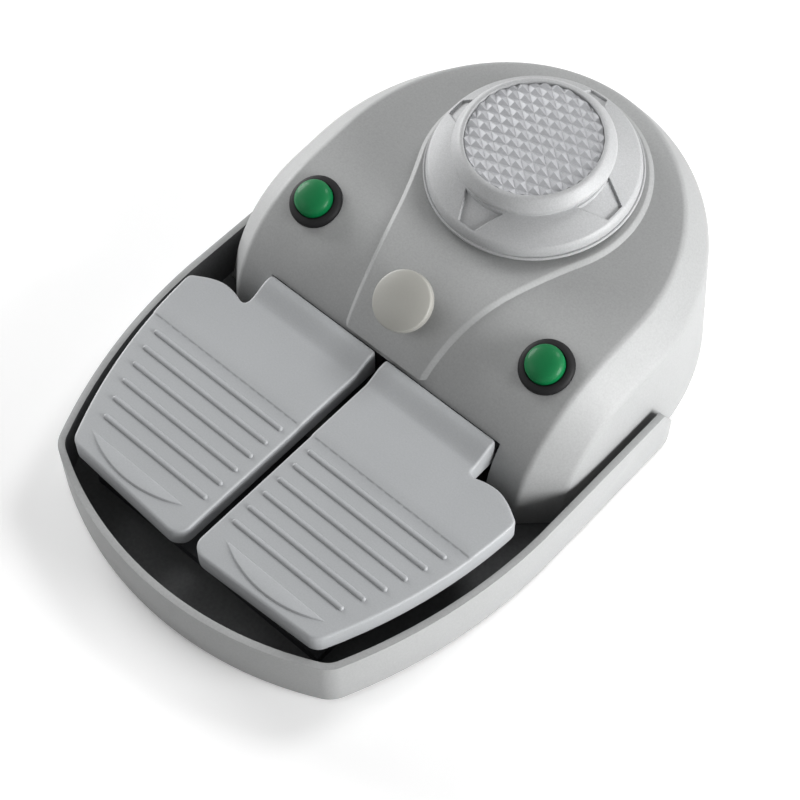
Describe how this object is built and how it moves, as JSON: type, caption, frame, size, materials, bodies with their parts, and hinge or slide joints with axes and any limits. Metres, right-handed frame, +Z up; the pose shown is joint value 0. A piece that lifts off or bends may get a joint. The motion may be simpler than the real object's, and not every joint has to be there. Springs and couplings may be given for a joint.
{
  "type": "four-way foot control pedal",
  "caption": "Free-standing foot control with a rimmed tray, domed cover, two rocking pedals, two green push buttons, a round plunger button and a tilting knurled disc.",
  "frame": {"origin": "centre of the footprint, on the floor", "axes": "+Z up, +X to the right of the user, +Y from the pedals towards the cable inlet"},
  "size_m": [0.163, 0.2504, 0.0824],
  "materials": {
    "grey_plastic": "fine moulded grain",
    "light_plastic": "satin moulded",
    "black_plastic": "smooth moulded",
    "green_plastic": "polished",
    "cream_plastic": "satin moulded",
    "black_rubber": "matt",
    "clear_rubber": "matt",
    "steel": "zinc plated",
    "dark_steel": "powder coated",
    "brass_leaf": "plain",
    "board_green": "solder resist",
    "block_green": "smooth",
    "relay_blue": "smooth"
  },
  "bodies": {
    "base": {"base_tray": "grey_plastic", "rubber_feet": "black_rubber", "ballast_plate": "dark_steel", "ballast_screws": "steel", "cover": "grey_plastic", "cover_screws": "steel", "hinge_rod": "steel", "rod_clips": "steel", "pedal_spring_left": "steel", "pedal_spring_right": "steel", "pedal_bumpers": "black_rubber", "pedal_switches": "black_plastic", "switch_leaves_left": "brass_leaf", "switch_leaves_right": "brass_leaf", "switch_screws": "steel", "button_body_left": "black_plastic", "button_body_right": "black_plastic", "button_nut_left": "steel", "button_nut_right": "steel", "button_spring_left": "steel", "button_spring_right": "steel", "button_terminals": "brass_leaf", "plunger_guide": "grey_plastic", "plunger_spring": "steel", "plunger_switch": "black_plastic", "rocker_mount": "dark_steel", "rocker_mount_screws": "steel", "rocker_switches": "black_plastic", "rocker_domes_front_back": "clear_rubber", "rocker_domes_sides": "clear_rubber", "circuit_board": "board_green", "board_screws": "steel", "terminal_block": "block_green", "board_relays": "relay_blue", "gland_body": "black_plastic", "gland_seal": "black_rubber", "gland_nut": "black_plastic"},
    "pedal_left_body": {"pedal_left": "light_plastic"},
    "pedal_right_body": {"pedal_right": "light_plastic"},
    "cap_left_body": {"button_cap_left": "green_plastic"},
    "cap_right_body": {"button_cap_right": "green_plastic"},
    "plunger_body": {"plunger_button": "cream_plastic", "plunger_clip": "steel"},
    "gimbal_body": {"gimbal_cross": "steel"},
    "disc_body": {"rocker_disc": "light_plastic", "grip_pad": "light_plastic", "disc_screws": "steel"}
  },
  "joints": [
    {"name": "pedal_left_press", "type": "hinge", "parent": "base", "child": "pedal_left_body", "pos_m": [0, -0.00125, 0.022], "axis": [1, 0, 0], "range_deg": [0, 4], "stiffness_Nm_per_rad": 1.5, "springref_deg": -11.46, "deforming": ["pedal_spring_left", "switch_leaves_left"]},
    {"name": "pedal_right_press", "type": "hinge", "parent": "base", "child": "pedal_right_body", "pos_m": [0, -0.00125, 0.022], "axis": [1, 0, 0], "range_deg": [0, 4], "stiffness_Nm_per_rad": 1.5, "springref_deg": -11.46, "deforming": ["pedal_spring_right", "switch_leaves_right"]},
    {"name": "button_left_press", "type": "slide", "parent": "base", "child": "cap_left_body", "axis": [0, 0.3681, -0.9298], "range_m": [0, 0.0025], "stiffness_N_per_m": 200, "springref_m": -0.004, "deforming": ["button_spring_left"]},
    {"name": "button_right_press", "type": "slide", "parent": "base", "child": "cap_right_body", "axis": [0, 0.3681, -0.9298], "range_m": [0, 0.0025], "stiffness_N_per_m": 200, "springref_m": -0.004, "deforming": ["button_spring_right"]},
    {"name": "plunger_press", "type": "slide", "parent": "base", "child": "plunger_body", "axis": [0, 0.5476, -0.8368], "range_m": [0, 0.003], "stiffness_N_per_m": 400, "springref_m": -0.003, "deforming": ["plunger_spring"]},
    {"name": "disc_front_back", "type": "hinge", "parent": "base", "child": "gimbal_body", "pos_m": [0, 0.05992, 0.05672], "axis": [1, 0, 0], "range_deg": [-2.2, 2.2], "stiffness_Nm_per_rad": 1.5, "deforming": ["rocker_domes_front_back"]},
    {"name": "disc_side_to_side", "type": "hinge", "parent": "gimbal_body", "child": "disc_body", "pos_m": [0, 0.05992, 0.05672], "axis": [0, 0.9962, 0.0872], "range_deg": [-2.2, 2.2], "stiffness_Nm_per_rad": 1.5, "deforming": ["rocker_domes_sides"]}
  ]
}
